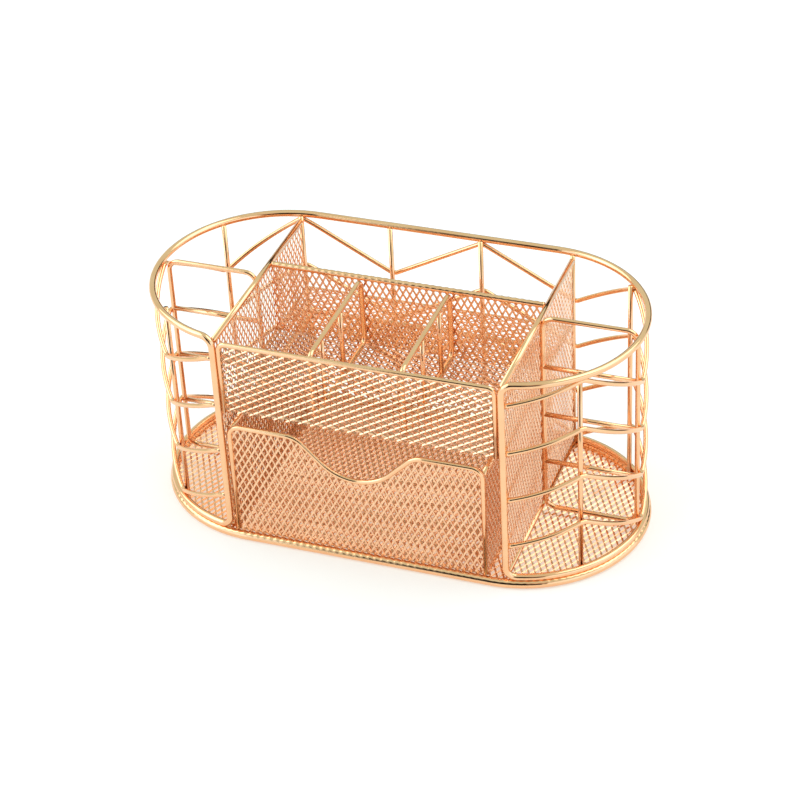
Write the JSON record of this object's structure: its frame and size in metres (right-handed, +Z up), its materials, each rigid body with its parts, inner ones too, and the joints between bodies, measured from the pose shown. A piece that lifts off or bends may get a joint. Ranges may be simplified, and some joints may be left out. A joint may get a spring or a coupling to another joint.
{
  "type": "desk organizer with drawer",
  "caption": "Rose-gold wire and mesh desk organizer with rounded wire end pockets, a divided top tray, a rear pocket and a scooped-front drawer that slides out below.",
  "frame": {"origin": "on the table, under the middle of the oval base", "axes": "+X along the long side, -Y towards the drawer front, +Z up"},
  "size_m": [0.2226, 0.1106, 0.1059],
  "materials": {
    "wire": "polished rose-gold plating",
    "mesh": "rose-gold plated expanded mesh"
  },
  "bodies": {
    "frame": {"base_ring": "wire", "frame_loop": "wire", "zigzag_rail_1": "wire", "zigzag_rail_2": "wire", "zigzag_rail_3": "wire", "zigzag_rail_4": "wire", "left_front_post": "wire", "right_front_post": "wire", "left_rear_post": "wire", "right_rear_post": "wire", "back_left_corner_post": "wire", "back_right_corner_post": "wire", "back_left_mid_post": "wire", "back_right_mid_post": "wire", "left_divider_loop": "wire", "left_divider_cross_wire_1": "wire", "left_divider_cross_wire_2": "wire", "left_divider_cross_wire_3": "wire", "left_panel_top_wire": "wire", "left_panel_foot_wire": "wire", "tray_divider_left_loop": "wire", "tray_divider_left_bar_1": "wire", "tray_divider_left_bar_2": "wire", "right_divider_loop": "wire", "right_divider_cross_wire_1": "wire", "right_divider_cross_wire_2": "wire", "right_divider_cross_wire_3": "wire", "right_panel_top_wire": "wire", "right_panel_foot_wire": "wire", "tray_divider_right_loop": "wire", "tray_divider_right_bar_1": "wire", "tray_divider_right_bar_2": "wire", "tray_front_wire": "wire", "tray_back_wire": "wire", "base_mesh": "mesh", "left_panel_mesh": "mesh", "right_panel_mesh": "mesh", "tray_floor_mesh": "mesh", "tray_front_mesh": "mesh", "tray_back_mesh": "mesh"},
    "drawer": {"drawer_front_frame": "wire", "drawer_rim_wire": "wire", "drawer_front_mesh": "mesh", "drawer_floor_mesh": "mesh", "drawer_left_mesh": "mesh", "drawer_right_mesh": "mesh", "drawer_back_mesh": "mesh"}
  },
  "joints": [
    {"name": "drawer_slide", "type": "slide", "parent": "frame", "child": "drawer", "axis": [0, -1, 0], "range_m": [0, 0.09]}
  ]
}
